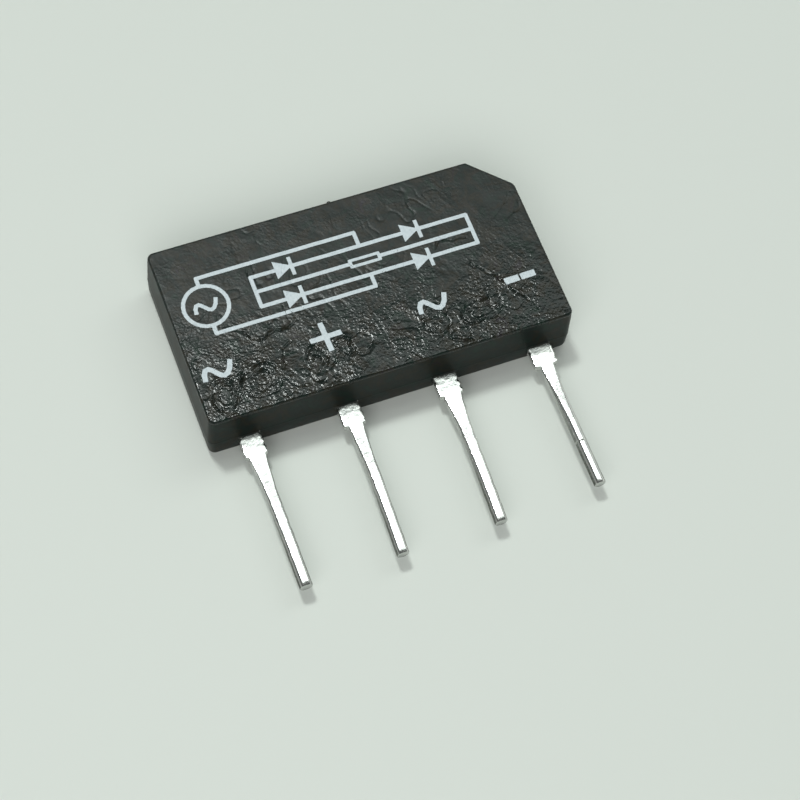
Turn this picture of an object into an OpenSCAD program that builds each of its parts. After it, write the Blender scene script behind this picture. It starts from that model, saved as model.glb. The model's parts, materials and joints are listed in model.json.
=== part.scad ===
// Single-in-line bridge rectifier: a moulded epoxy case around a stamped lead
// frame, four diode chips and the copper clips that close the bridge.
// It lies on its back at z = 0, printed face up, leads towards -Y.
// The origin is the middle of the back.

/* [Case] */
// Width along the row of leads
case_w = 19; // [18.5:0.1:20]
// Height from the lead side to the far side
case_h = 10; // [9.8:0.1:11]
// Thickness from the back to the printed face
case_t = 3.5; // [3.3:0.1:4]
// Leg of the 45 degree corner that marks the minus end
chamfer = 2; // [1.6:0.1:2.2]
// Height of the mould's parting plane above the back
split_z = 1.38; // [1.3:0.01:1.5]
// Draft of every side, away from the parting plane
draft = 1.5; // [0.5:0.5:4]
// Radius of the edges round the back
back_edge_r = 0.4; // [0.2:0.05:0.5]
// Radius of the edges round the printed face
face_edge_r = 0.12; // [0.08:0.01:0.2]
// Radius of the upright corners
corner_r = 0.3; // [0.2:0.05:0.5]
// Diameter of the two ejector marks in the back
ejector_d = 1.6; // [1.2:0.1:2]
// Depth of the ejector marks
ejector_depth = 0.06; // [0.04:0.01:0.1]
// Diameter of the nib that the mould's vent leaves on the far edge
nib_d = 0.24; // [0.2:0.01:0.3]

/* [Leads] */
// Distance from one lead to the next
pitch = 5.08; // [5:0.01:5.1]
// How far the row of leads sits off the middle of the case
row_shift = 0.15; // [-0.2:0.05:0.2]
// Thickness of the stamped strip
strip_t = 0.55; // [0.5:0.01:0.56]
// Width of the neck that leaves the case
neck_w = 1.26; // [1.1:0.02:1.3]
// Length of the neck outside the case, up to the sheared shoulder
neck_l = 1.15; // [0.8:0.05:1.2]
// Width just below the shoulder
shank_w = 0.88; // [0.8:0.02:0.9]
// Distance from the case to the end of the taper
taper_l = 4.4; // [4:0.1:5.4]
// Diameter of the round pin
pin_d = 0.65; // [0.64:0.01:0.7]
// Free length of each lead, from left to right
lead_l = [8.35, 8.3, 8.3, 8];
// Radius of the notches that lock each neck in the case
lock_r = 0.22; // [0.15:0.01:0.3]

/* [Bridge] */
// Side of a square diode chip
die_w = 1.7; // [1.5:0.1:1.8]
// Thickness of a diode chip
die_t = 0.25; // [0.2:0.01:0.3]
// Thickness of a solder joint
solder_t = 0.05; // [0.04:0.01:0.08]
// Side of the solder over a chip and at a landing
solder_w = 1.3; // [1.2:0.1:1.5]
// Thickness of the clips and the strap
clip_t = 0.2; // [0.15:0.01:0.25]
// Width of the clips and the strap
clip_w = 1.2; // [1:0.1:1.3]
// Length of a foot on a clip or the strap
foot_l = 1.0; // [0.9:0.1:1.2]
// How far a clip bows up above its highest foot
bow_h = 0.3; // [0.2:0.05:0.4]

/* [Hidden] */
$fn = 48;
LEADS = ["lead_ac_left", "lead_plus", "lead_ac_right", "lead_minus"];
DICE = ["ac_left_to_plus", "ac_right_to_plus", "minus_to_ac_left", "minus_to_ac_right"];
CLIPS = ["clip_ac_left", "clip_ac_right", "strap_minus"];
LANDINGS = ["ac_left", "ac_right", "minus"];

// Pad of each lead, as [left, right, near, far]
pads = [
    [-8.5, -5.35, -2.7, 3.7],
    [-4.75, -0.35, -2.7, 0.5],
    [0.25, 4.1, -2.7, 3.7],
    [4.9, 8.5, -2.7, 2.9]
];
pad_corner_r = 0.3;
// Row of the chips on the plus pad, and row of the chips that feed the minus pad
near_row = -1.1;
far_row = 2.3;
die_at = [[-3.65, near_row], [-1.45, near_row], [-6.9, far_row], [2.2, far_row]];
landing_at = [[-6.1, near_row], [1.0, near_row], [6.3, far_row]];

lead_side = -case_h / 2;
strip_z = split_z - strip_t;
pin_z = split_z - strip_t / 2;
die_z = split_z + solder_t;
over_z = die_z + die_t;
seat_z = over_z + solder_t;
landing_z = split_z + solder_t;
rise_l = 0.35;
taper_end_w = 2 * sqrt(pow(pin_d / 2, 2) - pow(strip_t / 2, 2)) - 0.02;
// The pin starts inside the strip and is fully round just before the strip ends in it
cone_start_l = 1.6;
cone_end_l = taper_l - 0.05;
cone_start_r = strip_t / 2 - 0.005;
tip_bevel = 0.06;
// Long enough to pass right through the case
through = 3 * case_w;

function unit(v) = v / norm(v);
function inset(rise) = rise * tan(draft);
function lead_x(i) = (i - 1.5) * pitch + row_shift;

// A convex outline whose corners have radii of their own
module rounded(points, radii) {
    n = len(points);
    back = [for (i = [0:n - 1]) unit(points[(i + n - 1) % n] - points[i])];
    ahead = [for (i = [0:n - 1]) unit(points[(i + 1) % n] - points[i])];
    half = [for (i = [0:n - 1]) acos(back[i] * ahead[i]) / 2];
    polygon([
        for (i = [0:n - 1])
            each radii[i] > 0
                ? [for (way = [back[i], ahead[i]]) points[i] + way * radii[i] / tan(half[i])]
                : [points[i]]
    ]);
    for (i = [0:n - 1])
        if (radii[i] > 0)
            translate(points[i] + unit(back[i] + ahead[i]) * radii[i] / sin(half[i]))
                circle(r = radii[i]);
}

// Section across the case: drafted both ways from the parting plane
module side_section(left, right) {
    back_in = inset(split_z);
    face_in = inset(case_t - split_z);
    rounded(
        [
            [left + back_in, 0], [right - back_in, 0], [right, split_z],
            [right - face_in, case_t], [left + face_in, case_t], [left, split_z]
        ],
        [back_edge_r, back_edge_r, 0, face_edge_r, face_edge_r, 0]
    );
}

module upright_section(left, right) {
    rotate([90, 0, 0])
        linear_extrude(through, center = true)
            side_section(left, right);
}

// Plan of the case with its cut corner
module plan() {
    w = case_w / 2;
    h = case_h / 2;
    rounded(
        [[-w, -h], [w, -h], [w, h - chamfer], [w - chamfer, h], [-w, h]],
        [corner_r, corner_r, 1.6 * corner_r, 0.5 * corner_r, corner_r]
    );
}

module case_outside() {
    cut_distance = (case_w / 2 + case_h / 2 - chamfer) / sqrt(2);
    intersection() {
        linear_extrude(case_t) plan();
        upright_section(-case_w / 2, case_w / 2);
        rotate([0, 0, 90]) upright_section(-case_h / 2, case_h / 2);
        rotate([0, 0, 45]) upright_section(-case_w, cut_distance);
    }
    translate([0.15, case_h / 2 - inset(case_t - split_z), case_t - face_edge_r - 0.3])
        cylinder(d = nib_d, h = 0.3);
}

module ejector_marks() {
    for (side = [-1, 1])
        translate([side * case_w * 0.29, 0, -1])
            cylinder(d = ejector_d, h = 1 + ejector_depth);
}

module moulded_case() {
    color("#242628")
        difference() {
            case_outside();
            ejector_marks();
            for (i = [0:3]) lead(i);
            for (i = [0:3]) chip_stack(i);
            for (i = [0:2]) {
                clip(i);
                solder_landing(i);
            }
        }
}

// Plan of the part of a lead that stays a flat strip
module strip_plan(i) {
    pad = pads[i];
    shoulder = lead_side - neck_l;
    difference() {
        union() {
            rounded(
                [[pad[0], pad[2]], [pad[1], pad[2]], [pad[1], pad[3]], [pad[0], pad[3]]],
                [for (corner = [1:4]) pad_corner_r]
            );
            translate([lead_x(i) - neck_w / 2, shoulder])
                square([neck_w, pad[2] + 0.5 - shoulder]);
        }
        for (side = [-1, 1])
            translate([lead_x(i) + side * neck_w / 2, (lead_side + pad[2]) / 2])
                circle(r = lock_r);
    }
    translate([lead_x(i), shoulder])
        polygon([
            [-shank_w / 2, 0.1], [shank_w / 2, 0.1], [shank_w / 2, 0],
            [taper_end_w / 2, neck_l - taper_l], [-taper_end_w / 2, neck_l - taper_l],
            [-shank_w / 2, 0]
        ]);
}

// Round pin, swelling out of the strip as it is coined round
module coined_pin(length) {
    rotate([90, 0, 0])
        rotate_extrude()
            polygon([
                [0, cone_start_l], [cone_start_r, cone_start_l], [pin_d / 2, cone_end_l],
                [pin_d / 2, length - tip_bevel], [pin_d / 2 - tip_bevel, length], [0, length]
            ]);
}

module lead(i) {
    color("#c9ccce") {
        translate([0, 0, strip_z])
            linear_extrude(strip_t)
                strip_plan(i);
        translate([lead_x(i), lead_side, pin_z])
            coined_pin(lead_l[i]);
    }
}

// A square plate of the bridge, centred on a place
module plate(place, side, z, t) {
    translate([place[0] - side / 2, place[1] - side / 2, z])
        cube([side, side, t]);
}

module die(i) {
    color("#5b6168") plate(die_at[i], die_w, die_z, die_t);
}

module solder_under(i) {
    color("#a9adb0") plate(die_at[i], die_w, split_z, solder_t);
}

module solder_over(i) {
    color("#a9adb0") plate(die_at[i], solder_w, over_z, solder_t);
}

module solder_landing(i) {
    color("#a9adb0") plate(landing_at[i], solder_w, split_z, solder_t);
}

module chip_stack(i) {
    solder_under(i);
    die(i);
    solder_over(i);
}

// Feet of each clip as [x, z], and the row it runs along
feet = [
    [[landing_at[0][0], landing_z], [die_at[0][0], seat_z]],
    [[die_at[1][0], seat_z], [landing_at[1][0], landing_z]],
    [[die_at[2][0], seat_z], [die_at[3][0], seat_z], [landing_at[2][0], landing_z]]
];
clip_row = [near_row, near_row, far_row];

// Underside of a bent clip: flat on every foot, bowed up between them
function clip_path(stops) = [
    for (i = [0:len(stops) - 1]) each concat(
        [for (end = [-foot_l / 2, foot_l / 2]) stops[i] + [end, 0]],
        i == len(stops) - 1 ? [] : [
            [stops[i][0] + foot_l / 2 + rise_l, seat_z + bow_h],
            [stops[i + 1][0] - foot_l / 2 - rise_l, seat_z + bow_h]
        ]
    )
];

// A band of even thickness along a path, with round bends
module ribbon(path, t) {
    for (i = [0:len(path) - 2]) {
        run = path[i + 1] - path[i];
        translate(path[i])
            rotate(atan2(run[1], run[0]))
                translate([0, -t / 2])
                    square([norm(run), t]);
        if (i > 0)
            translate(path[i]) circle(d = t);
    }
}

module clip(i) {
    color("#b87844")
        translate([0, clip_row[i] + clip_w / 2, clip_t / 2])
            rotate([90, 0, 0])
                linear_extrude(clip_w)
                    ribbon(clip_path(feet[i]), clip_t);
}

moulded_case();
for (i = [0:3]) {
    lead(i);
    die(i);
    solder_under(i);
    solder_over(i);
}
for (i = [0:2]) {
    clip(i);
    solder_landing(i);
}
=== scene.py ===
import json
import math
import time
import bmesh
import bpy
import numpy as np
from mathutils import Matrix, Vector, noise


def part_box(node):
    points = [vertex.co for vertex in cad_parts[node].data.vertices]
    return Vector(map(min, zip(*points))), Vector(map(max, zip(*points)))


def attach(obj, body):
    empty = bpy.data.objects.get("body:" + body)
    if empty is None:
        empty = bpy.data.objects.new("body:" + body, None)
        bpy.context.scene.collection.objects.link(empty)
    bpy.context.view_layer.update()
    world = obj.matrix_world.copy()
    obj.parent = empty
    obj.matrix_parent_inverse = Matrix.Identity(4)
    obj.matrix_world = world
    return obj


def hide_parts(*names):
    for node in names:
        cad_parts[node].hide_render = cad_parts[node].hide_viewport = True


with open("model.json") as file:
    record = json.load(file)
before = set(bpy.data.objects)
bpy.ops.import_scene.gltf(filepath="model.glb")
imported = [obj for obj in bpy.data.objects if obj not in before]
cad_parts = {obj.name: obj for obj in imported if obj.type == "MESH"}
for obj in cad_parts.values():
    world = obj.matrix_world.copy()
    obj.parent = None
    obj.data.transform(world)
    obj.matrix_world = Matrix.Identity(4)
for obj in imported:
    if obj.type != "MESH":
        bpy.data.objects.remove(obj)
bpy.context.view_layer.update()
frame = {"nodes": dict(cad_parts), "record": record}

startTime = time.time()
mm = 0.001  # pieces are modelled in millimetres and scaled to metres when finished
noise.seed_set(7)  # the same wrinkles on every run


def report(stage):
    print(f"{time.time() - startTime:6.1f} s  {stage}")


def nodeBox(name):
    low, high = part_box(name)
    return low / mm, high / mm


def clamp(value, low=0, high=1):
    return min(high, max(low, value))


def makeActive(piece):
    bpy.ops.object.select_all(action="DESELECT")
    piece.select_set(True)
    bpy.context.view_layer.objects.active = piece


def edit(piece, mode="EDGE"):
    makeActive(piece)
    bpy.ops.object.mode_set(mode="EDIT")
    bpy.ops.mesh.select_mode(type=mode)


def leaveEdit():
    bpy.ops.object.mode_set(mode="OBJECT")


def applyModifier(piece, kind, **settings):
    makeActive(piece)
    modifier = piece.modifiers.new(kind.title(), kind)
    for key, value in settings.items():
        setattr(modifier, key, value)
    bpy.ops.object.modifier_apply(modifier=modifier.name)


def joinPieces(pieces):
    makeActive(pieces[0])
    for piece in pieces:
        piece.select_set(True)
    bpy.ops.object.join()
    return bpy.context.active_object


def readPoints(piece):
    flat = np.zeros(len(piece.data.vertices) * 3)
    piece.data.vertices.foreach_get("co", flat)
    return flat.reshape(-1, 3)


def writePoints(piece, points):
    piece.data.vertices.foreach_set("co", points.ravel())
    piece.data.update()


def finishPiece(piece, name, material, stands=()):
    makeActive(piece)
    piece.name = name
    piece.data.name = name
    piece.scale = (mm, mm, mm)
    bpy.ops.object.transform_apply(location=True, rotation=True, scale=True)
    piece.data.materials.clear()
    piece.data.materials.append(material)
    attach(piece, "root")
    if stands:
        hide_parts(*stands)
    return piece


def linear(hexColour):
    parts = [int(hexColour[i:i + 2], 16) / 255 for i in (1, 3, 5)]
    return [c / 12.92 if c <= 0.04045 else ((c + 0.055) / 1.055) ** 2.4 for c in parts] + [1.0]


def newMaterial(name):
    material = bpy.data.materials.new(name)
    material.use_nodes = True
    material.node_tree.nodes.clear()
    return material


def addNode(material, kind, settings=None, values=None, links=None):
    node = material.node_tree.nodes.new(kind)
    for key, value in (settings or {}).items():
        setattr(node, key, value)
    for key, value in (values or {}).items():
        node.inputs[key].default_value = value
    for key, source in (links or {}).items():
        material.node_tree.links.new(source, node.inputs[key])
    return node


def addRamp(material, source, stops):
    node = addNode(material, "ShaderNodeValToRGB", links={0: source})
    ramp = node.color_ramp
    while len(ramp.elements) < len(stops):
        ramp.elements.new(0.5)
    for element, (place, colour) in zip(ramp.elements, stops):
        element.position = place
        element.color = colour
    return node


def millimetres(material):
    place = addNode(material, "ShaderNodeTexCoord")
    return addNode(material, "ShaderNodeVectorMath", {"operation": "SCALE"}, {"Scale": 1 / mm},
                   {0: place.outputs["Object"]})


def closeMaterial(material, shader):
    addNode(material, "ShaderNodeOutputMaterial", links={"Surface": shader.outputs[0]})
    return material


caseLow, caseHigh = nodeBox("moulded_case")
caseLook = {
    "faceCell": 0.05,       # spacing of the relief points on the printed face
    "chamfer": 2.0,
    "splitZ": 1.38,         # the mould's parting plane
    "draft": 1.5,           # degrees
    "cornerSkip": 9,        # degrees of each corner left to the sides
    "cornerCuts": 5,
    "chamferRounds": (1.3, 0.5),  # of the corner radius, at its lead end and its far end
    "chamferCuts": (5, 3),
    "faceEdgeRadius": 0.12,
    "backEdgeRadius": 0.4,
    "cornerRadius": 0.45,
    "flash": 0.012,         # half the height of the parting line
    "flashOut": 0.0048,     # how far it stands proud
    "lip": 0.03,            # narrow rings that keep the edges crisp
    "sideRings": (0.7, 1.4),
    "ejectorAt": 0.29,      # of the case's width
    "ejectorRadius": 0.8,
    "ejectorDepth": 0.06,
    "nib": (0.15, 0.24),    # place along the far edge, width
    "nibScale": (1.0, 0.75, 0.8),
    "nibSink": (0.05, 0.16),
    "smoothAngle": 40,
}
reliefLook = {
    "swell": 0.013,         # height of the broad waves
    "grain": 0.010,         # height of the fine grain
    "fineGrain": 0.3,       # share of a still finer grain
    "crease": 0.052,        # depth of the flow lines
    "shallow": 0.7,         # depth of the random flow lines against the drawn ones
    "lines": 3.2,           # flow lines from one hill of the flow to the next
    "creaseWidth": 0.36,
    "ringWidth": 0.056,
    "rim": 0.10,            # smooth strip inside the edge
    "rimStart": 0.07,
    "calm": 0.5,            # how much of the grain the far side has, against the lead side
    "grainFrom": 1.2,       # where along Y the grain begins to grow toward the leads
    "grainSpan": 4.2,
    "wobble": 0.26,         # how far drawn lines wander, and how far they shiver
    "shiver": 0.09,
    "fade": (0.65, 1.5),    # middle and swing of a drawn line's depth
    "faintest": 0.25,       # the least of it
    "bending": 0.9,         # how far the flow is bent
    "eddies": 0.35,         # how strong its eddies are
    "grainBend": 3,
    "fineGrainBend": 2,
    "grainPatches": (0.4, 0.5, 1.8),   # least share, middle and swing
    "creasePatches": (0.1, 0.4, 1.5),  # middle, gain toward the leads, swing
    "reach": 0.4,           # how far a seam is felt
    "ringReach": (1.3, 1.5),
    "ringsBelow": -1.2,
    # each layer of noise: hills per millimetre along X and Y, and the slice it is cut from
    "layers": {"bend": (0.42, 0.36, 3.1), "wobble": (1.2, 1.2, 6.6), "shiver": (3.9, 3.9, 0.4),
               "fade": (1.3, 1.3, 4.2), "flow": (0.45, 0.34, 7.7), "eddy": (1.1, 0.9, 1.3),
               "grainPatch": (0.6, 0.6, 21.0), "creasePatch": (0.5, 0.6, 12.4),
               "swell": (1.3, 1.0, 5.5), "grain": (3.4, 2.6, 2.2), "fineGrain": (6.0, 5.0, 8.8)},
    # closed flow rings: x, y, half width, half height, turned by
    "rings": [(-3.46, -3.46, 0.46, 0.98, -8), (-3.46, -3.5, 0.22, 0.55, -8),
              (-1.08, -3.05, 0.5, 0.68, 0), (-1.75, -3.0, 0.4, 0.6, 10),
              (-6.3, -3.45, 0.95, 0.9, 20), (-6.3, -3.45, 0.55, 0.55, 20),
              (-6.2, -3.5, 0.22, 0.28, 20), (2.75, -3.0, 0.62, 0.95, 0),
              (-8.3, -3.6, 0.6, 0.9, -15), (-8.2, -3.5, 0.28, 0.5, -15),
              (5.2, -3.3, 1.1, 0.6, 15), (5.2, -3.3, 0.6, 0.32, 15)],
    # open flow lines, each a run of points
    "seams": [[(3.2, -3.22), (3.22, -3.7), (3.35, -4.15), (3.7, -4.55), (4.1, -4.72)],
              [(6.6, -1.9), (6.95, -2.35), (7.3, -3.0), (7.5, -3.37), (7.89, -3.98)],
              [(-2.33, -2.51), (-2.4, -3.2), (-2.75, -3.8), (-2.8, -4.5)],
              [(-6.89, -2.8), (-7.4, -3.4), (-8.04, -4.11)],
              [(-7.6, 0.1), (-6.6, -0.75), (-5.6, -1.25), (-4.6, -1.2), (-3.9, -0.9)],
              [(4.34, 0.82), (4.7, 1.05), (5.15, 1.1), (5.8, 0.94)],
              [(5.6, -0.6), (6.1, -1.4), (6.9, -1.9)],
              [(-5.1, -3.2), (-4.9, -2.5), (-4.4, -2.0)]],
}


def groove(distance, width):
    # a rounded furrow with a faint lip on each side
    lipHeight, lipAt, lipSharpness = 0.35, 1.9, 2
    t = distance / width
    return -math.exp(-t * t) + lipHeight * math.exp(-(abs(t) - lipAt) ** 2 * lipSharpness)


def distanceToRun(x, y, run):
    best = math.inf
    for (ax, ay), (bx, by) in zip(run, run[1:]):
        dx, dy = bx - ax, by - ay
        t = clamp(((x - ax) * dx + (y - ay) * dy) / (dx * dx + dy * dy))
        best = min(best, math.hypot(x - ax - t * dx, y - ay - t * dy))
    return best


def layerPoint(name, x, y, pushX=0, pushY=0):
    perX, perY, level = reliefLook["layers"][name]
    return x * perX + pushX, y * perY + pushY, level


def drawnLines(x, y, rings, look):
    # closed rings and open seams, as a sum of grooves
    height = 0
    reachX, reachY = look["ringReach"]
    for cx, cy, halfWide, halfHigh, turn in rings:
        ox, oy = x - cx, y - cy
        if abs(ox) < reachX and abs(oy) < reachY:
            c, s = math.cos(math.radians(turn)), math.sin(math.radians(turn))
            u, v = (ox * c + oy * s) / halfWide, (oy * c - ox * s) / halfHigh
            away = (math.hypot(u, v) - 1) * (halfWide + halfHigh) / 2
            height += groove(away, look["ringWidth"])
    for run in look["seams"]:
        if min(p[0] for p in run) - look["reach"] < x < max(p[0] for p in run) + look["reach"]:
            away = distanceToRun(x, y, run)
            if away < look["reach"]:
                height += groove(away, look["ringWidth"])
    return height


def reliefHeight(x, y):
    look = reliefLook
    bend = noise.noise_vector(layerPoint("bend", x, y))
    wobble = (noise.noise_vector(layerPoint("wobble", x, y)) * look["wobble"]
              + noise.noise_vector(layerPoint("shiver", x, y)) * look["shiver"])
    middle, swing = look["fade"]
    fade = clamp(middle + swing * noise.noise(layerPoint("fade", x, y)), look["faintest"])
    push = bend * look["bending"]
    flow = noise.noise(layerPoint("flow", x, y, push.x, push.y))
    flow += look["eddies"] * noise.noise(layerPoint("eddy", x, y, bend.y, bend.x))
    nearLeads = clamp((look["grainFrom"] - y) / look["grainSpan"])
    grainShare = look["calm"] + (1 - look["calm"]) * nearLeads
    least, middle, swing = look["grainPatches"]
    grainShare *= least + clamp(middle + swing * noise.noise(layerPoint("grainPatch", x, y)))
    middle, gain, swing = look["creasePatches"]
    patch = clamp(middle + gain * nearLeads + swing * noise.noise(layerPoint("creasePatch", x, y)))
    line = max(0, 1 - abs(math.sin(flow * look["lines"] * math.pi)) / look["creaseWidth"])
    height = -look["shallow"] * look["crease"] * patch * line * line
    rings = look["rings"] if y < look["ringsBelow"] else []
    height += fade * look["crease"] * drawnLines(x + wobble.x, y + wobble.y, rings, look)
    height += look["swell"] * noise.noise(layerPoint("swell", x, y))
    push = bend * look["grainBend"]
    grain = noise.noise(layerPoint("grain", x, y, push.x, push.y))
    push = bend * look["fineGrainBend"]
    grain += look["fineGrain"] * noise.noise(layerPoint("fineGrain", x, y, push.y))
    return height + grainShare * look["grain"] * grain


def insideFace(x, y):
    # distance from the edge of the printed face, negative outside
    halfWide, halfHigh = caseHigh.x, -caseLow.y
    cut = (halfWide + halfHigh - caseLook["chamfer"] - x - y) / math.sqrt(2)
    return min(halfWide - abs(x), halfHigh - abs(y), cut)


def sinkRelief(points, faceZ, spread):
    # lays the relief into every point near the height of the printed face
    for point in points:
        if point[2] > faceZ - spread:
            depth = insideFace(point[0], point[1])
            share = clamp((depth - reliefLook["rimStart"]) / reliefLook["rim"])
            point[2] += share * reliefHeight(point[0], point[1])
    return points


def trimCorner(centre, radius, fromAngle, toAngle, cuts):
    for k in range(cuts + 1):
        angle = math.radians(fromAngle + (toAngle - fromAngle) * k / cuts)
        out = Vector((math.cos(angle), math.sin(angle), 0))
        bpy.ops.mesh.select_all(action="SELECT")
        bpy.ops.mesh.bisect(plane_co=Vector(centre) + out * radius, plane_no=out,
                            clear_outer=True, threshold=0.00001)


def caseProfile(look, thickness):
    # outset from the face's flat part and height, from the printed face round to the back
    slope = math.tan(math.radians(look["draft"]))
    split, lip = look["splitZ"], look["lip"]
    faceIn = (thickness - split) * slope
    backIn = split * slope
    steps = []
    r, cuts = look["faceEdgeRadius"], 4
    for k in range(1, cuts + 1):
        turn = math.radians(90 * k / cuts)
        steps.append((-faceIn - r + r * math.sin(turn), thickness - r + r * math.cos(turn)))
    steps.append((-faceIn + lip * slope, thickness - r - lip))
    for z in [thickness - drop for drop in look["sideRings"]] + [split + 2 * lip, split + lip]:
        steps.append((-(z - split) * slope, z))
    steps.append((look["flashOut"], split + look["flash"]))
    steps.append((look["flashOut"], split - look["flash"]))
    r, cuts = look["backEdgeRadius"], 6
    for z in (split - lip, split - 2 * lip, r + lip):
        steps.append((-(split - z) * slope, z))
    for k in range(cuts + 1):
        turn = math.radians(90 * k / cuts)
        steps.append((-backIn - r + r * math.cos(turn), r - r * math.sin(turn)))
    return steps


def makeCase(look):
    halfWide, halfHigh, thickness = caseHigh.x, -caseLow.y, caseHigh.z
    slope = math.tan(math.radians(look["draft"]))
    inset = (thickness - look["splitZ"]) * slope + look["faceEdgeRadius"]
    flatX, flatY = halfWide - inset, halfHigh - inset
    bpy.ops.mesh.primitive_grid_add(x_subdivisions=round(2 * flatX / look["faceCell"]),
                                    y_subdivisions=round(2 * flatY / look["faceCell"]),
                                    size=2, location=(0, 0, thickness))
    case = bpy.context.active_object
    case.scale = (flatX, flatY, 1)
    bpy.ops.object.transform_apply(location=True, rotation=False, scale=True)

    edit(case)
    r = look["cornerRadius"] - look["faceEdgeRadius"]
    chamferOut = (halfWide + halfHigh - look["chamfer"]) / math.sqrt(2) - inset
    for sideX, sideY, fromAngle in ((-1, -1, 180), (1, -1, 270), (-1, 1, 90)):
        centre = (sideX * (flatX - r), sideY * (flatY - r), thickness)
        trimCorner(centre, r, fromAngle + look["cornerSkip"], fromAngle + 90 - look["cornerSkip"],
                   look["cornerCuts"])
    # the two blunt corners of the chamfer
    cutX, cutY = chamferOut * math.sqrt(2) - flatX, chamferOut * math.sqrt(2) - flatY
    lowRound, highRound = look["chamferRounds"]
    lowCuts, highCuts = look["chamferCuts"]
    lean = math.tan(math.radians(22.5))
    lowCorner = (flatX - lowRound * r, cutX - lowRound * r * lean, thickness)
    highCorner = (cutY - highRound * r * lean, flatY - highRound * r, thickness)
    trimCorner(lowCorner, lowRound * r, 0, 45, lowCuts)
    trimCorner(highCorner, highRound * r, 45, 90, highCuts)

    # the rim, the sides and the back edge are drawn out of the boundary, ring by ring
    bpy.ops.mesh.select_all(action="DESELECT")
    bpy.ops.mesh.select_non_manifold(extend=False, use_wire=False, use_multi_face=False,
                                     use_non_contiguous=False, use_verts=False)
    nowOut, nowZ = -inset, thickness
    for out, z in caseProfile(look, thickness):
        bpy.ops.mesh.extrude_edges_move(TRANSFORM_OT_translate={"value": (0, 0, z - nowZ)})
        ratio = ((halfWide + out) / (halfWide + nowOut), (halfHigh + out) / (halfHigh + nowOut), 1)
        bpy.ops.transform.resize(value=ratio, center_override=(0, 0, z))
        nowOut, nowZ = out, z
    bpy.ops.mesh.edge_face_add()
    bpy.ops.mesh.select_all(action="SELECT")
    bpy.ops.mesh.normals_make_consistent(inside=False)
    leaveEdit()
    report("case drawn out")

    writePoints(case, sinkRelief(readPoints(case), thickness, 0.002))
    report("printed face wrinkled")
    return case


def addCaseMarks(case, look):
    # two ejector marks in the back, and the nib on the far edge
    cutters = []
    for side in (-1, 1):
        centre = (side * look["ejectorAt"] * 2 * caseHigh.x, 0, look["ejectorDepth"] - 0.5)
        bpy.ops.mesh.primitive_cylinder_add(vertices=64, radius=look["ejectorRadius"], depth=1,
                                            location=centre)
        cutters.append(bpy.context.active_object)
    cutter = joinPieces(cutters)
    applyModifier(case, "BOOLEAN", operation="DIFFERENCE", solver="EXACT", object=cutter)
    bpy.data.objects.remove(cutter)

    place, width = look["nib"]
    bpy.ops.mesh.primitive_uv_sphere_add(segments=20, ring_count=12, radius=width / 2)
    nib = bpy.context.active_object
    nib.scale = look["nibScale"]
    inward, downward = look["nibSink"]
    nib.location = (place, -caseLow.y - inward, caseHigh.z - downward)
    bpy.ops.object.transform_apply(location=True, rotation=False, scale=True)
    applyModifier(case, "BOOLEAN", operation="UNION", solver="EXACT", object=nib)
    bpy.data.objects.remove(nib)
    report("case marks cut")


leadLook = {
    "stripThickness": 0.55,
    "neckLength": 1.15,
    "padNear": -2.7,        # where every pad begins, along Y
    "insideNeck": 1.26,
    "notch": 0.22,          # radius of the lock notches inside the case
    "notchDepth": 0.85,     # of their radius
    "taperEnd": 2.4,        # how far past the neck the shank narrows to the pin's width
    "ringPoints": 36,
    "squareness": 9.0,      # of the stamped strip; 2 is round
    "steps": 18,
    "neckSteps": 12,
    "endBevel": 0.05,
    # rings of the cut end: distance before the end, in from each side, off the thickness
    "endRings": [(0.015, 0.015, 0.03), (0.0, 0.05, 0.09)],
    "padStep": 0.02,
    "seat": (0.05, 0.03),   # how deep in the wall the neck begins, and how much narrower
    "shoulderRound": 0.03,
    "shoulderCut": 0.05,
    "shankFoot": (0.06, 0.05),
    "shankStart": 0.07,     # past the shoulder
    "burrs": 5.3,           # ragged waves per millimetre along the sheared edges
    "burrStep": 9.0,
    "neckBurr": 0.07,
    "shankBurr": 0.03,
    "shankStretch": 0.5,    # the shank's burrs are longer
    "easing": {"thickness": 1.5, "roundness": 0.7, "bend": 1.5},
    "smoothAngle": 35,
    # distance from the case and thickness there
    "rolled": [(0.0, 0.55), (0.2, 0.49), (0.4, 0.44), (0.65, 0.4), (0.9, 0.383), (1.3, 0.38),
               (2.6, 0.4), (6.0, 0.56)],
    "nickWidth": 0.05,
    "nick": (0.06, 0.01, 0.12),  # in from the left, in from the right, off the thickness
}
# how each lead differs: neck edges left and right of its middle, widths of shank and pin,
# squareness and thickness of the pin, where it gets there, sideways push at the tip, seed for
# raggedness, and where the cutter pinched it
leadHabits = {
    "lead_ac_left": {"neck": (-0.6, 0.57), "shank": 0.86, "pin": 0.65, "square": 2.5, "thick": 0.6,
                     "roundAt": 8.0, "tipShift": -0.03, "seed": 3.0},
    "lead_plus": {"neck": (-0.6, 0.56), "shank": 0.74, "pin": 0.62, "square": 2.8, "thick": 0.58,
                  "roundAt": 6.0, "tipShift": -0.20, "seed": 17.0},
    "lead_ac_right": {"neck": (-0.63, 0.6), "shank": 0.9, "pin": 0.64, "square": 2.7, "thick": 0.58,
                      "roundAt": 7.0, "tipShift": -0.22, "seed": 29.0},
    "lead_minus": {"neck": (-0.62, 0.6), "shank": 0.7, "pin": 0.6, "square": 2.0, "thick": 0.6,
                   "roundAt": 4.8, "tipShift": 0.02, "seed": 41.0, "nick": 5.6},
}


def along(stops, d):
    for (a, u), (b, v) in zip(stops, stops[1:]):
        if d <= b:
            return u + (v - u) * max(0, d - a) / (b - a)
    return stops[-1][1]


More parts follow.
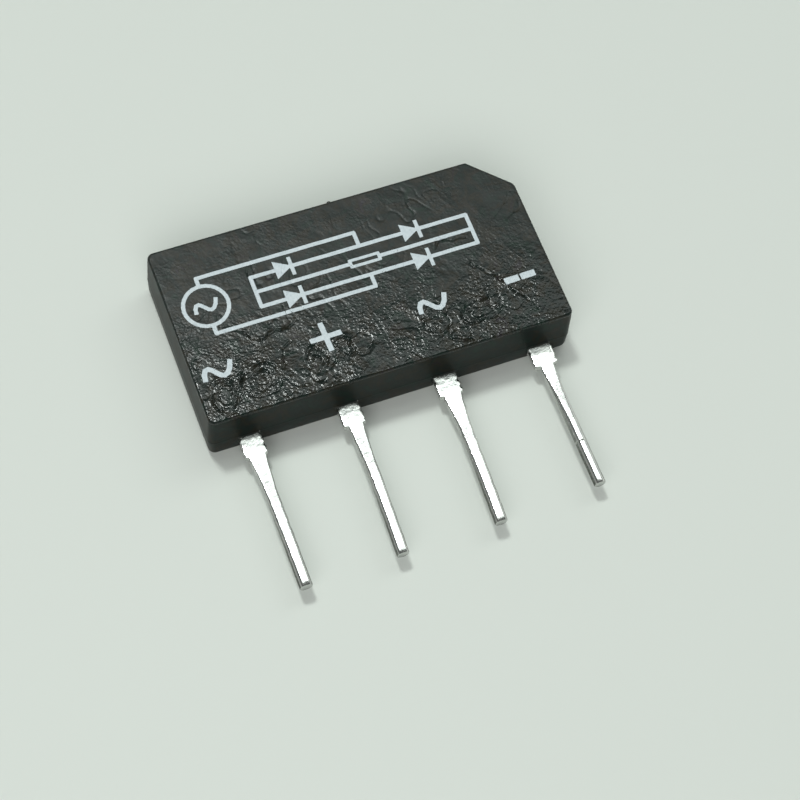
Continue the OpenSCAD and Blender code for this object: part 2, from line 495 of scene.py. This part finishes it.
def ringPoint(turn, left, right, thickness, square, centreZ):
    # a point of a rounded rectangle whose squareness runs from 2, round, upward
    c, s = math.cos(turn), math.sin(turn)
    x = math.copysign(abs(c) ** (2 / square), c)
    z = math.copysign(abs(s) ** (2 / square), s)
    return (left + right) / 2 + x * (right - left) / 2, centreZ + z * thickness / 2


def insideStations(name, look, pinX):
    # the pad and the locked neck within the case
    low, high = nodeBox(name)
    face = caseLow.y
    padEnd = face - look["padNear"]
    flat, square = look["stripThickness"], look["squareness"]
    half, notch = look["insideNeck"] / 2, look["notch"]
    narrow = half - notch * look["notchDepth"]
    notchAt = padEnd / 2
    seatDepth, seatIn = look["seat"]
    stations = [(face - high.y, low.x, high.x, flat, square), (padEnd, low.x, high.x, flat, square)]
    for d, w in ((padEnd + look["padStep"], half),
                 (notchAt - notch, half), (notchAt - notch / 2, narrow),
                 (notchAt + notch / 2, narrow), (notchAt + notch, half),
                 (-seatDepth, half - seatIn)):
        stations.append((d, pinX - w, pinX + w, flat, square))
    return stations


def leadStations(name, look, habit, pinX):
    # each station: distance from the case, left edge, right edge, thickness, squareness
    low = nodeBox(name)[0]
    length = caseLow.y - low.y
    square = look["squareness"]

    def ragged(d, side, size):
        return size * noise.noise((d * look["burrs"], side * look["burrStep"], habit["seed"]))

    stations = insideStations(name, look, pinX)
    left, right = habit["neck"]
    for k in range(look["neckSteps"] + 1):
        d = k / look["neckSteps"] * (look["neckLength"] - look["shoulderRound"])
        stations.append((d, pinX + left + ragged(d, 0, look["neckBurr"]),
                         pinX + right + ragged(d, 1, look["neckBurr"]),
                         along(look["rolled"], d), square))
    shank = habit["shank"] / 2
    footLeft, footRight = look["shankFoot"]
    d = look["neckLength"]
    thickness = along(look["rolled"], d)
    stations.append((d, pinX + left + look["shoulderCut"], pinX + right - look["shoulderCut"],
                     thickness, square))
    stations.append((d + look["padStep"], pinX - shank - footLeft, pinX + shank + footRight,
                     thickness, square))
    straight = length - look["endBevel"]
    easing = look["easing"]
    begin = look["neckLength"] + look["shankStart"]
    for k in range(look["steps"] + 1):
        d = begin + k / look["steps"] * (straight - begin)
        narrowed = min(1, (d - begin) / look["taperEnd"])
        halfWidth = shank + (habit["pin"] / 2 - shank) * math.sin(narrowed * math.pi / 2)
        rounded = clamp((d - begin) / (habit["roundAt"] - begin))
        thickness = along(look["rolled"], d)
        thickness += (habit["thick"] - thickness) * rounded ** easing["thickness"]
        past = (d - look["neckLength"]) / (length - look["neckLength"])
        middle = pinX + habit["tipShift"] * past ** easing["bend"]
        gained = rounded ** easing["roundness"]
        roundness = 2 / square + (2 / habit["square"] - 2 / square) * gained
        stretched = d * look["shankStretch"]
        stations.append((d, middle - halfWidth + ragged(stretched, 2, look["shankBurr"]),
                         middle + halfWidth + ragged(stretched, 3, look["shankBurr"]),
                         thickness, 2 / roundness))
    if "nick" in habit:
        after = next(k for k, station in enumerate(stations) if station[0] > habit["nick"])
        d, left, right, thickness, square = stations[after]
        inLeft, inRight, off = look["nick"]
        stations[after:after] = [
            (habit["nick"] - look["nickWidth"], left, right, thickness, square),
            (habit["nick"], left + inLeft, right - inRight, thickness - off, square),
            (habit["nick"] + look["nickWidth"], left, right, thickness, square)]
    d, left, right, thickness, square = stations[-1]
    for before, inward, off in look["endRings"]:
        stations.append((length - before, left + inward, right - inward, thickness - off, square))
    return stations


def makeLead(name, look, habit, pinX):
    low, high = nodeBox(name)
    centreZ = (low.z + high.z) / 2
    stations = leadStations(name, look, habit, pinX)
    # a flat ring at the far end, drawn out along the lead and fitted to each station
    bpy.ops.mesh.primitive_circle_add(vertices=look["ringPoints"], radius=1, fill_type="NGON",
                                      location=(0, caseLow.y - stations[0][0], 0),
                                      rotation=(math.radians(90), 0, 0))
    lead = bpy.context.active_object
    bpy.ops.object.transform_apply(location=True, rotation=True, scale=True)
    turns = [math.atan2(p[2], p[0]) for p in readPoints(lead)]
    edit(lead, "FACE")
    bpy.ops.mesh.select_all(action="SELECT")
    for k, (d, left, right, thickness, square) in enumerate(stations):
        if k:
            step = stations[k - 1][0] - d
            bpy.ops.mesh.extrude_region_move(TRANSFORM_OT_translate={"value": (0, step, 0)})
        mesh = bmesh.from_edit_mesh(lead.data)
        ring = [v for v in mesh.verts if v.select]
        places = [ringPoint(turn, left, right, thickness, square, centreZ) for turn in turns]
        if k:
            d0, left0, right0, thickness0, square0 = stations[k - 1]
            before = [ringPoint(turn, left0, right0, thickness0, square0, centreZ)
                      for turn in turns]
            order = [min(range(len(turns)), key=lambda j: math.dist(before[j], (v.co.x, v.co.z)))
                     for v in ring]
        else:
            order = range(len(ring))
        for v, j in zip(ring, order):
            v.co.x, v.co.z = places[j]
        bmesh.update_edit_mesh(lead.data)
    bpy.ops.mesh.select_all(action="SELECT")
    bpy.ops.mesh.normals_make_consistent(inside=False)
    leaveEdit()
    makeActive(lead)
    bpy.ops.object.shade_smooth_by_angle(angle=math.radians(look["smoothAngle"]))
    return lead


inkLook = {
    "stroke": 0.28,
    "thin": 0.21,
    "plate": 0.06,          # thickness before it is fused
    "proud": 0.006,
    "squash": 0.5,          # how far the plate's rounded top is flattened
    "overlap": 0.3,         # how far the bars of a stroke run on, of its width
    "bridge": 0.014,        # how deep the ink follows a crease
    "voxel": 0.025,
    # strokes of the first alternating-current sign, and how far on the second one stands
    "wave": [(-8.87, -2.62), (-8.84, -2.34), (-8.73, -2.12), (-8.56, -2.08), (-8.40, -2.2),
             (-8.24, -2.38), (-8.07, -2.56), (-7.90, -2.63), (-7.72, -2.55), (-7.55, -2.32),
             (-7.43, -1.96)],
    "secondWave": (11.16, 0.13),
    "plusAt": (-2.6, -2.23),
    "minusAt": (7.66, -2.16),
    "markSize": 1.65,
    "waveStroke": 0.93,     # stroke of the waves and of the minus, against the others
    "minusStroke": 1.3,
    "minusGap": 0.04,
    "turn": 1.5,            # degrees, the stamp sat a little askew
    # the wiring diagram: rails left and right, rows low and high, and the supply ring
    "rails": (-5.0, 6.4),
    "rows": (0.35, 2.05),
    "outer": (-0.35, 2.85),
    "diodes": (-3.3, 3.4),
    "diodeSize": 1.05,
    "ring": (-7.55, 1.25, 1.12),
    "ringStep": 12,         # degrees
    "load": (1.5, 0.36),
    "loadStroke": 0.8,
    "ringWave": 0.8,        # size of the wave in the ring, against the mark
    "triangleBack": 0.12,   # places along a diode, of its size
    "barAhead": 0.42,
}


def inkBar(start, end, width):
    start, end = Vector(start), Vector(end)
    run = end - start
    middle = (start + end) / 2
    bpy.ops.mesh.primitive_plane_add(size=1, location=(middle.x, middle.y, caseHigh.z))
    bar = bpy.context.active_object
    bar.scale = (run.length, width, 1)
    bar.rotation_euler = (0, 0, math.atan2(run.y, run.x))
    bpy.ops.object.transform_apply(location=True, rotation=True, scale=True)
    return bar


def inkStroke(points, width):
    # a run of short bars, each a little long so that they meet
    overlap = inkLook["overlap"]
    bars = []
    for start, end in zip(points, points[1:]):
        start, end = Vector(start), Vector(end)
        reach = (end - start).normalized() * width * overlap
        bars.append(inkBar(start - reach, end + reach, width))
    return bars


def inkTriangle(centre, size):
    bpy.ops.mesh.primitive_circle_add(vertices=3, radius=size / math.sqrt(3), fill_type="NGON",
                                      location=(centre[0], centre[1], caseHigh.z),
                                      rotation=(0, 0, math.radians(-90)))
    triangle = bpy.context.active_object
    bpy.ops.object.transform_apply(location=True, rotation=True, scale=True)
    return triangle


def settleInk(plates, look):
    ink = joinPieces(plates)
    applyModifier(ink, "SOLIDIFY", thickness=look["plate"], offset=0)
    applyModifier(ink, "REMESH", mode="VOXEL", voxel_size=look["voxel"])
    points = readPoints(ink)
    top = caseHigh.z + look["plate"] / 2
    for point in points:
        height = reliefHeight(point[0], point[1])
        if point[2] > caseHigh.z:
            point[2] = caseHigh.z + look["proud"] - look["squash"] * (top - point[2])
            height = max(height, -look["bridge"])
        point[2] += height
    writePoints(ink, points)
    makeActive(ink)
    bpy.ops.object.shade_smooth()
    return ink


def makePolarityMarks(look):
    size, stroke = look["markSize"], look["stroke"]
    plates = inkStroke(look["wave"], stroke * look["waveStroke"])
    moved = [(x + look["secondWave"][0], y + look["secondWave"][1]) for x, y in look["wave"]]
    plates += inkStroke(moved, stroke * look["waveStroke"])
    lean = math.radians(look["turn"])
    across = Vector((math.cos(lean), math.sin(lean))) * size / 2
    up = Vector((-math.sin(lean), math.cos(lean))) * size / 2
    plus = Vector(look["plusAt"])
    plates.append(inkBar(plus - across, plus + across, stroke))
    plates.append(inkBar(plus - up, plus + up, stroke))
    minus = Vector(look["minusAt"])
    gap = Vector((look["minusGap"], 0))
    plates.append(inkBar(minus - across, minus - gap, stroke * look["minusStroke"]))
    plates.append(inkBar(minus + gap, minus + across, stroke * look["minusStroke"]))
    return settleInk(plates, look)


def makeWiringDiagram(look):
    # the usual bridge circuit: supply ring at the left, two rows of two diodes, load in the middle
    stroke, size = look["thin"], look["diodeSize"]
    left, right = look["rails"]
    tap = (left + right) / 2
    ringX, ringY, radius = look["ring"]
    plates = []
    for row, outer, side in zip(look["rows"], look["outer"], (-1, 1)):
        plates += inkStroke([(left, row), (right, row)], stroke)
        for x in look["diodes"]:
            bar = x + size * look["barAhead"]
            plates.append(inkTriangle((x - size * look["triangleBack"], row), size))
            plates.append(inkBar((bar, row - size / 2), (bar, row + size / 2), stroke))
        supply = [(tap, row), (tap, outer), (ringX, outer), (ringX, ringY + side * radius)]
        plates += inkStroke(supply, stroke)
    for x in look["rails"]:
        plates += inkStroke([(x, look["rows"][0]), (x, look["rows"][1])], stroke)
    middle = sum(look["rows"]) / 2
    halfWide, halfHigh = look["load"][0] / 2, look["load"][1] / 2
    box = [(tap - halfWide, middle - halfHigh), (tap + halfWide, middle - halfHigh),
           (tap + halfWide, middle + halfHigh), (tap - halfWide, middle + halfHigh),
           (tap - halfWide, middle - halfHigh)]
    plates += inkStroke(box, stroke * look["loadStroke"])
    plates += inkStroke([(left, middle), (tap - halfWide, middle)], stroke)
    plates += inkStroke([(tap + halfWide, middle), (right, middle)], stroke)
    turns = [math.radians(angle) for angle in range(0, 361, look["ringStep"])]
    plates += inkStroke([(ringX + radius * math.cos(t), ringY + radius * math.sin(t))
                         for t in turns], stroke)
    middleX = (look["wave"][0][0] + look["wave"][-1][0]) / 2
    middleY = (look["wave"][0][1] + look["wave"][-1][1]) / 2
    scale = look["ringWave"]
    plates += inkStroke([(ringX + (x - middleX) * scale, ringY + (y - middleY) * scale)
                         for x, y in look["wave"]], stroke)
    return settleInk(plates, look)


# transfer-moulded epoxy: black with a trace of grey filler, an even dry skin on the sides and
# the back, and on the printed face a fine grain that grows and glints toward the leads
def makeMouldedEpoxy():
    epoxy = newMaterial("moulded epoxy")
    place = millimetres(epoxy)
    split = addNode(epoxy, "ShaderNodeSeparateXYZ", links={0: place.outputs[0]})
    onFace = addNode(epoxy, "ShaderNodeMapRange",
                     values={"From Min": caseHigh.z - 0.15, "From Max": caseHigh.z - 0.09},
                     links={"Value": split.outputs["Z"]})
    nearLeads = addNode(epoxy, "ShaderNodeMapRange",
                        values={"From Min": 1.5, "From Max": -2.6, "To Min": 0.4, "To Max": 1.0},
                        links={"Value": split.outputs["Y"]})
    mottle = addNode(epoxy, "ShaderNodeTexNoise",
                     values={"Scale": 1.3, "Detail": 5, "Roughness": 0.65, "Distortion": 0.8},
                     links={"Vector": place.outputs[0]})
    colour = addRamp(epoxy, mottle.outputs["Fac"],
                     [(0.3, linear("#10241B")), (0.48, linear("#121A18")),
                      (0.6, linear("#201F15")), (0.72, linear("#1E1A21"))])
    # grain of about 0.15 mm, as finer grain would average out to nothing
    grain = addNode(epoxy, "ShaderNodeTexNoise",
                    values={"Scale": 6.4, "Detail": 1, "Roughness": 0.5, "Distortion": 0.6},
                    links={"Vector": place.outputs[0]})
    pits = addNode(epoxy, "ShaderNodeTexVoronoi", values={"Scale": 6.8, "Randomness": 1.0},
                   links={"Vector": place.outputs[0]})
    ridges = addNode(epoxy, "ShaderNodeMath", {"operation": "MULTIPLY_ADD"}, {1: 0.55},
                     {0: pits.outputs["Distance"], 2: grain.outputs["Fac"]})
    patches = addNode(epoxy, "ShaderNodeTexNoise", values={"Scale": 0.6, "Detail": 2},
                      links={"Vector": place.outputs[0]})
    roughShare = addNode(epoxy, "ShaderNodeMapRange", values={"From Min": 0.38, "From Max": 0.6,
                                                              "To Min": 0.45, "To Max": 1.3},
                         links={"Value": patches.outputs["Fac"]})
    onRough = addNode(epoxy, "ShaderNodeMath", {"operation": "MULTIPLY"},
                      links={0: roughShare.outputs[0], 1: onFace.outputs[0]})
    strength = addNode(epoxy, "ShaderNodeMath", {"operation": "MULTIPLY"},
                       links={0: nearLeads.outputs[0], 1: onRough.outputs[0]})
    faceHeight = addNode(epoxy, "ShaderNodeMath", {"operation": "MULTIPLY"},
                         links={0: ridges.outputs[0], 1: strength.outputs[0]})
    faceBump = addNode(epoxy, "ShaderNodeBump", values={"Strength": 1.0, "Distance": 0.024 * mm},
                       links={"Height": faceHeight.outputs[0]})
    wave = addNode(epoxy, "ShaderNodeTexNoise", values={"Scale": 0.9, "Detail": 2},
                   links={"Vector": place.outputs[0]})
    bump = addNode(epoxy, "ShaderNodeBump", values={"Strength": 0.6, "Distance": 0.02 * mm},
                   links={"Height": wave.outputs["Fac"], "Normal": faceBump.outputs[0]})
    dull = addNode(epoxy, "ShaderNodeMapRange", values={"From Min": 0.4, "From Max": 1.0,
                                                        "To Min": 0.38, "To Max": 0.17},
                   links={"Value": nearLeads.outputs[0]})
    polish = addNode(epoxy, "ShaderNodeMix", values={"A": 0.38},
                     links={"Factor": onFace.outputs[0], "B": dull.outputs[0]})
    patch = addNode(epoxy, "ShaderNodeMath", {"operation": "MULTIPLY_ADD"}, {1: 0.1},
                    {0: mottle.outputs["Fac"], 2: polish.outputs[0]})
    # the sides left the mould with a drier skin than the printed face
    skin = addNode(epoxy, "ShaderNodeMapRange", values={"To Min": 0.16, "To Max": 0.5},
                   links={"Value": onFace.outputs[0]})
    shader = addNode(epoxy, "ShaderNodeBsdfPrincipled", values={"IOR": 1.45},
                     links={"Base Color": colour.outputs[0], "Roughness": patch.outputs[0],
                            "Specular IOR Level": skin.outputs[0], "Normal": bump.outputs[0]})
    return closeMaterial(epoxy, shader)


# hot-dipped tin over copper: bright and mirror-like with a faint crystalline ripple; a darker
# colour is painted on the flanks that face sideways as painted shade, more so toward the tips, and
# the cut ends are darker and duller
def makeTinnedCopper():
    tin = newMaterial("tinned copper")
    place = millimetres(tin)
    coords = addNode(tin, "ShaderNodeTexCoord")
    facing = addNode(tin, "ShaderNodeSeparateXYZ", links={0: coords.outputs["Normal"]})
    split = addNode(tin, "ShaderNodeSeparateXYZ", links={0: place.outputs[0]})
    sideways = addNode(tin, "ShaderNodeMath", {"operation": "ABSOLUTE"},
                       links={0: facing.outputs["X"]})
    # painted shade: flanks that face sideways are given a darker colour, growing toward the tips
    paintedFlankShade = addNode(tin, "ShaderNodeMapRange", {"interpolation_type": "SMOOTHSTEP"},
                    {"From Min": 0.45, "From Max": 0.95}, {"Value": sideways.outputs[0]})
    outward = addNode(tin, "ShaderNodeMapRange",
                      values={"From Min": caseLow.y - 1.2, "From Max": caseLow.y - 6.5,
                              "To Min": 0.25, "To Max": 1.0},
                      links={"Value": split.outputs["Y"]})
    cutEnd = addNode(tin, "ShaderNodeMapRange", {"interpolation_type": "SMOOTHSTEP"},
                     {"From Min": -0.6, "From Max": -0.9, "To Max": 0.45},
                     {"Value": facing.outputs["Y"]})
    # painted shade on the flanks, plus the darker, duller cut ends
    flankShadeAndCutEnds = addNode(tin, "ShaderNodeMath", {"operation": "MULTIPLY_ADD", "use_clamp": True},
                   links={0: paintedFlankShade.outputs[0], 1: outward.outputs[0], 2: cutEnd.outputs[0]})
    ripple = addNode(tin, "ShaderNodeTexNoise",
                     values={"Scale": 2.4, "Detail": 4, "Roughness": 0.55},
                     links={"Vector": place.outputs[0]})
    fine = addNode(tin, "ShaderNodeTexNoise", values={"Scale": 9, "Detail": 3},
                   links={"Vector": place.outputs[0]})
    height = addNode(tin, "ShaderNodeMath", {"operation": "MULTIPLY_ADD"}, {1: 0.18},
                     {0: fine.outputs["Fac"], 2: ripple.outputs["Fac"]})
    bump = addNode(tin, "ShaderNodeBump", values={"Strength": 0.7, "Distance": 0.011 * mm},
                   links={"Height": height.outputs[0]})
    bright = addRamp(tin, ripple.outputs["Fac"],
                     [(0.35, linear("#E2E4E2")), (0.65, linear("#F4F4F1"))])
    # dark grey painted on the flanks as shade, and on the cut ends as their own duller colour
    shadeAndCutEndColour = addRamp(tin, fine.outputs["Fac"],
                    [(0.35, linear("#4E504C")), (0.6, linear("#7C7E79"))])
    colour = addNode(tin, "ShaderNodeMix", {"data_type": "RGBA"},
                     links={"Factor": flankShadeAndCutEnds.outputs[0], 6: bright.outputs[0], 7: shadeAndCutEndColour.outputs[0]})
    polish = addNode(tin, "ShaderNodeMapRange", values={"To Min": 0.14, "To Max": 0.42},
                     links={"Value": flankShadeAndCutEnds.outputs[0]})
    shader = addNode(tin, "ShaderNodeBsdfPrincipled", values={"Metallic": 1.0},
                     links={"Base Color": colour.outputs[2], "Roughness": polish.outputs[0],
                            "Normal": bump.outputs[0]})
    return closeMaterial(tin, shader)


# pad-printed ink: chalky, slightly bluish white, thin enough to show the wrinkles under it
def makeMarkingInk():
    ink = newMaterial("marking ink")
    place = millimetres(ink)
    speckle = addNode(ink, "ShaderNodeTexNoise",
                      values={"Scale": 6.5, "Detail": 5, "Roughness": 0.7},
                      links={"Vector": place.outputs[0]})
    colour = addRamp(ink, speckle.outputs["Fac"],
                     [(0.28, linear("#A9B5BB")), (0.42, linear("#C3CED3")),
                      (0.7, linear("#D3DCE0"))])
    bump = addNode(ink, "ShaderNodeBump", values={"Strength": 0.5, "Distance": 0.008 * mm},
                   links={"Height": speckle.outputs["Fac"]})
    shader = addNode(ink, "ShaderNodeBsdfPrincipled", values={"Roughness": 0.55, "IOR": 1.5},
                     links={"Base Color": colour.outputs[0], "Normal": bump.outputs[0]})
    return closeMaterial(ink, shader)


# inner pieces, sealed in the case: one short recipe, with its own colours and grain for each
def makeInnerFinish(name, dark, light, grainScale, metallic, roughness):
    finish = newMaterial(name)
    place = millimetres(finish)
    grain = addNode(finish, "ShaderNodeTexNoise", values={"Scale": grainScale, "Detail": 4},
                    links={"Vector": place.outputs[0]})
    colour = addRamp(finish, grain.outputs["Fac"], [(0.3, linear(dark)), (0.7, linear(light))])
    bump = addNode(finish, "ShaderNodeBump", values={"Strength": 0.5, "Distance": 0.01 * mm},
                   links={"Height": grain.outputs["Fac"]})
    shader = addNode(finish, "ShaderNodeBsdfPrincipled",
                     values={"Metallic": metallic, "Roughness": roughness},
                     links={"Base Color": colour.outputs[0], "Normal": bump.outputs[0]})
    return closeMaterial(finish, shader)


def dressInnerNodes():
    finishes = {
        "die": makeInnerFinish("sawn silicon", "#4A5057", "#5E656D", 8, 0.0, 0.25),
        "clip": makeInnerFinish("stamped copper", "#A86B45", "#C98A60", 3, 1.0, 0.32),
        "strap": makeInnerFinish("stamped copper strap", "#A86B45", "#C98A60", 3, 1.0, 0.32),
        "solder": makeInnerFinish("high-lead solder", "#83878A", "#A3A6A8", 5, 1.0, 0.42),
    }
    for name, node in frame["nodes"].items():
        kind = name.split("_")[0]
        if kind in finishes:
            node.data.materials.clear()
            node.data.materials.append(finishes[kind])


viewLook = {
    "azimuth": -28.17, "elevation": 63.33, "roll": 8.31,  # degrees
    "distance": 110.38, "target": (0.435, -5.062, 0.0),  # millimetres
    "focal": 99.73, "sensor": 36.0,
}


def aimAxes(azimuth, elevation, roll):
    a, e, r = (math.radians(value) for value in (azimuth, elevation, roll))
    back = Vector((math.sin(a) * math.cos(e), -math.cos(a) * math.cos(e), math.sin(e)))
    right = Vector((0, 0, 1)).cross(back).normalized()
    up = back.cross(right)
    turnedRight = math.cos(r) * right + math.sin(r) * up
    turnedUp = math.cos(r) * up - math.sin(r) * right
    return turnedRight, turnedUp, back


def placeAlong(thing, target, distance, axes):
    right, up, back = axes
    thing.matrix_world = Matrix((right, up, back)).transposed().to_4x4()
    thing.location = (Vector(target) + back * distance) * mm


def makeCamera(look):
    data = bpy.data.cameras.new("camera")
    camera = bpy.data.objects.new("camera", data)
    bpy.context.scene.collection.objects.link(camera)
    data.sensor_width = look["sensor"]
    data.lens = look["focal"]
    data.clip_start = 0.005
    data.clip_end = 10
    placeAlong(camera, look["target"], look["distance"],
               aimAxes(look["azimuth"], look["elevation"], look["roll"]))
    bpy.context.scene.camera = camera


# each lamp: direction it stands in (azimuth 0 is on the lead side), distance and size in
# millimetres, power, colour, and whether glossy surfaces mirror it
lampAim = (0, -3, 0)
lamps = {
    "wide sheet": {"azimuth": 137.5, "elevation": 69.8, "roll": 44.2, "distance": 400,
                   "size": (625, 159), "power": 0.54, "colour": (0.92, 1.0, 0.96),
                   "mirrored": True},
    "key": {"azimuth": -161.6, "elevation": 71.5, "roll": 0, "distance": 500,
            "size": (60, 60), "power": 0.86, "colour": (0.95, 1.0, 0.97), "mirrored": True},
    # lifts the floor before the lead side, without a highlight of its own
    "front bounce": {"azimuth": -28.0, "elevation": 45.0, "roll": 0, "distance": 400,
                     "size": (400, 250), "power": 0.86, "colour": (1.0, 1.0, 1.0),
                     "mirrored": False},
}
floorLook = {"colour": "#D8DDD7", "radius": 0.25, "cuts": 96, "roughness": 0.55, "ior": 1.3}
backdropLook = {
    "horizon": "#E4E9E4", "overhead": "#5A5C5A",
    "fadeFrom": 0.15, "fadeTo": 0.6,  # rise of the direction, 1 is straight up
    "fill": 0.1,
}


def makeLamps(looks):
    for name, look in looks.items():
        data = bpy.data.lights.new(name, "AREA")
        data.shape = "RECTANGLE"
        data.size, data.size_y = look["size"][0] * mm, look["size"][1] * mm
        data.energy = look["power"]
        data.color = look["colour"]
        lamp = bpy.data.objects.new(name, data)
        bpy.context.scene.collection.objects.link(lamp)
        lamp.visible_glossy = look["mirrored"]
        placeAlong(lamp, lampAim, look["distance"],
                   aimAxes(look["azimuth"], look["elevation"], look["roll"]))


def makeWorld(look):
    # a pale backdrop to the camera, to metal and to glass, weaker as a light
    world = bpy.data.worlds.new("studio")
    bpy.context.scene.world = world
    world.use_nodes = True
    world.node_tree.nodes.clear()
    rays = addNode(world, "ShaderNodeLightPath")
    direction = addNode(world, "ShaderNodeTexCoord")
    split = addNode(world, "ShaderNodeSeparateXYZ", links={0: direction.outputs["Generated"]})
    rise = addNode(world, "ShaderNodeMapRange",
                   values={"From Min": look["fadeFrom"], "From Max": look["fadeTo"]},
                   links={"Value": split.outputs["Z"]})
    shades = addRamp(world, rise.outputs[0],
                     [(0.0, linear(look["horizon"])), (1.0, linear(look["overhead"]))])
    backdrop = addNode(world, "ShaderNodeBackground", values={"Strength": 1.0},
                       links={0: shades.outputs[0]})
    light = addNode(world, "ShaderNodeBackground",
                    values={"Color": (1, 1, 1, 1), "Strength": look["fill"]})
    gloss = addNode(world, "ShaderNodeMath", {"operation": "MAXIMUM"},
                    links={0: rays.outputs["Is Camera Ray"], 1: rays.outputs["Is Glossy Ray"]})
    seen = addNode(world, "ShaderNodeMath", {"operation": "MAXIMUM"},
                   links={0: gloss.outputs[0], 1: rays.outputs["Is Transmission Ray"]})
    mix = addNode(world, "ShaderNodeMixShader", links={0: seen.outputs[0],
                                                       1: light.outputs[0], 2: backdrop.outputs[0]})
    addNode(world, "ShaderNodeOutputWorld", links={"Surface": mix.outputs[0]})


def makeFloor(look):
    bpy.ops.mesh.primitive_circle_add(vertices=look["cuts"], radius=look["radius"],
                                      fill_type="NGON", location=(0, 0, 0))
    floor = bpy.context.active_object
    floor.name = "floor"
    material = newMaterial("studio floor")
    shader = addNode(material, "ShaderNodeBsdfPrincipled",
                     values={"Base Color": linear(look["colour"]),
                             "Roughness": look["roughness"], "IOR": look["ior"]})
    closeMaterial(material, shader)
    floor.data.materials.append(material)


def main():
    scene = bpy.context.scene
    scene.view_settings.view_transform = "Standard"
    makeCamera(viewLook)
    makeLamps(lamps)
    makeWorld(backdropLook)
    makeFloor(floorLook)
    report("studio set")

    epoxy = makeMouldedEpoxy()
    tin = makeTinnedCopper()
    ink = makeMarkingInk()
    dressInnerNodes()

    case = makeCase(caseLook)
    addCaseMarks(case, caseLook)
    makeActive(case)
    bpy.ops.object.shade_smooth_by_angle(angle=math.radians(caseLook["smoothAngle"]))
    finishPiece(case, "moulded_case_dressed", epoxy, ["moulded_case"])

    mountX = {mount["name"]: mount["pos_m"][0] / mm for mount in frame["record"]["mounts"]}
    for name, habit in leadHabits.items():
        lead = makeLead(name, leadLook, habit, mountX[name.replace("lead", "pin")])
        finishPiece(lead, name + "_dressed", tin, [name])
    report("leads drawn out")

    finishPiece(makePolarityMarks(inkLook), "polarity_marks", ink)
    finishPiece(makeWiringDiagram(inkLook), "wiring_diagram", ink)
    report("print laid on")


main()
